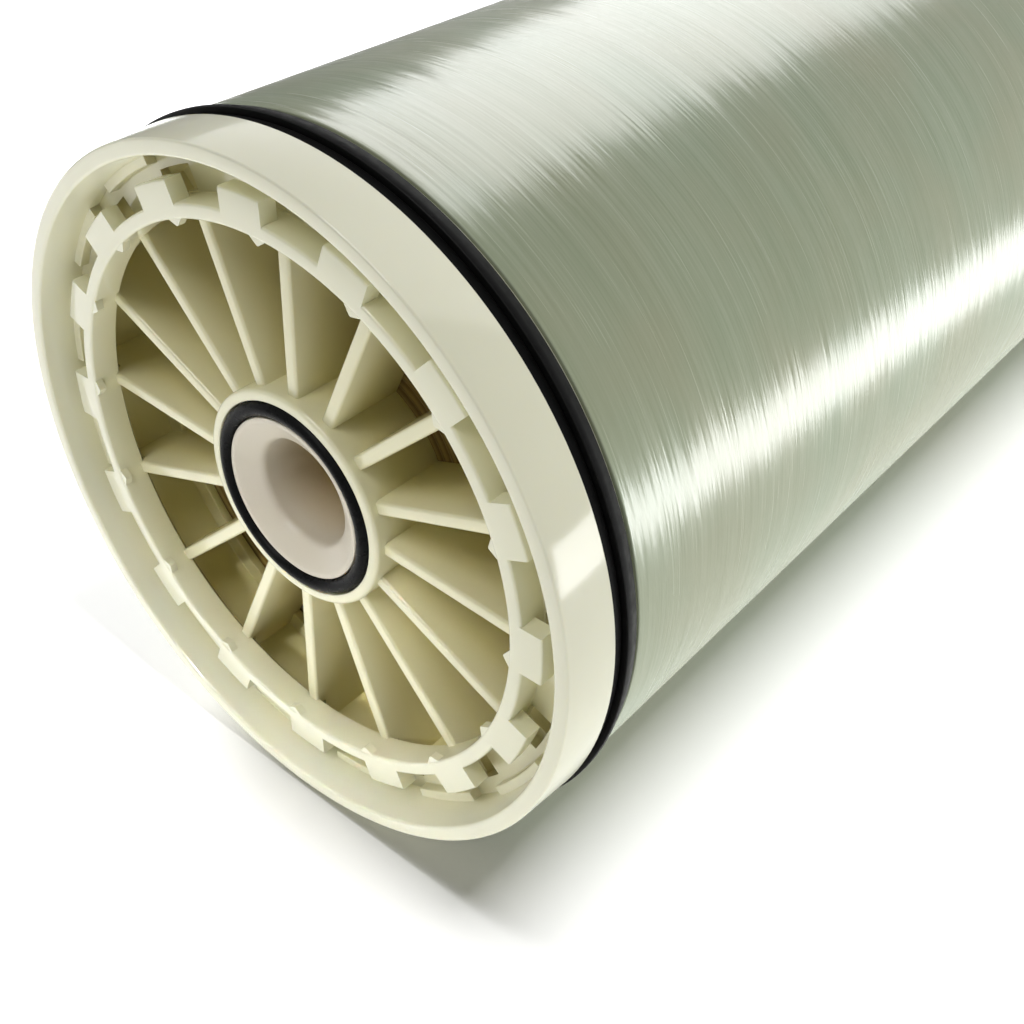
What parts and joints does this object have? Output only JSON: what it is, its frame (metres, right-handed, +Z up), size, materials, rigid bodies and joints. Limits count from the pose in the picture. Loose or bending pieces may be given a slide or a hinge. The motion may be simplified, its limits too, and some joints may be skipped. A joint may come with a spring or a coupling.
{
  "type": "reverse osmosis membrane element",
  "caption": "Spiral-wound water treatment element with a fibreglass shell, bladed interlocking end caps, brine seal and central permeate tube.",
  "frame": {"origin": "centre of the discharge spigot's tip, on the floor it stands on", "axes": "+Z up along the element's axis, from the discharge end to the feed end; a tab of the feed cap lies on +X"},
  "size_m": [0.2028, 0.2028, 1.0287],
  "materials": {
    "cap_plastic": "satin moulded ivory plastic",
    "seal_rubber": "smooth black rubber",
    "wound_fibreglass": "glossy filament-wound fibreglass",
    "membrane": "matt wound sheet",
    "tube_plastic": "satin white plastic"
  },
  "bodies": {
    "root": {"feed_end_cap": "cap_plastic", "hub_o_ring": "seal_rubber", "brine_seal": "seal_rubber", "fibreglass_shell": "wound_fibreglass", "membrane_roll": "membrane", "permeate_tube": "tube_plastic", "discharge_end_cap": "cap_plastic"}
  },
  "joints": []
}
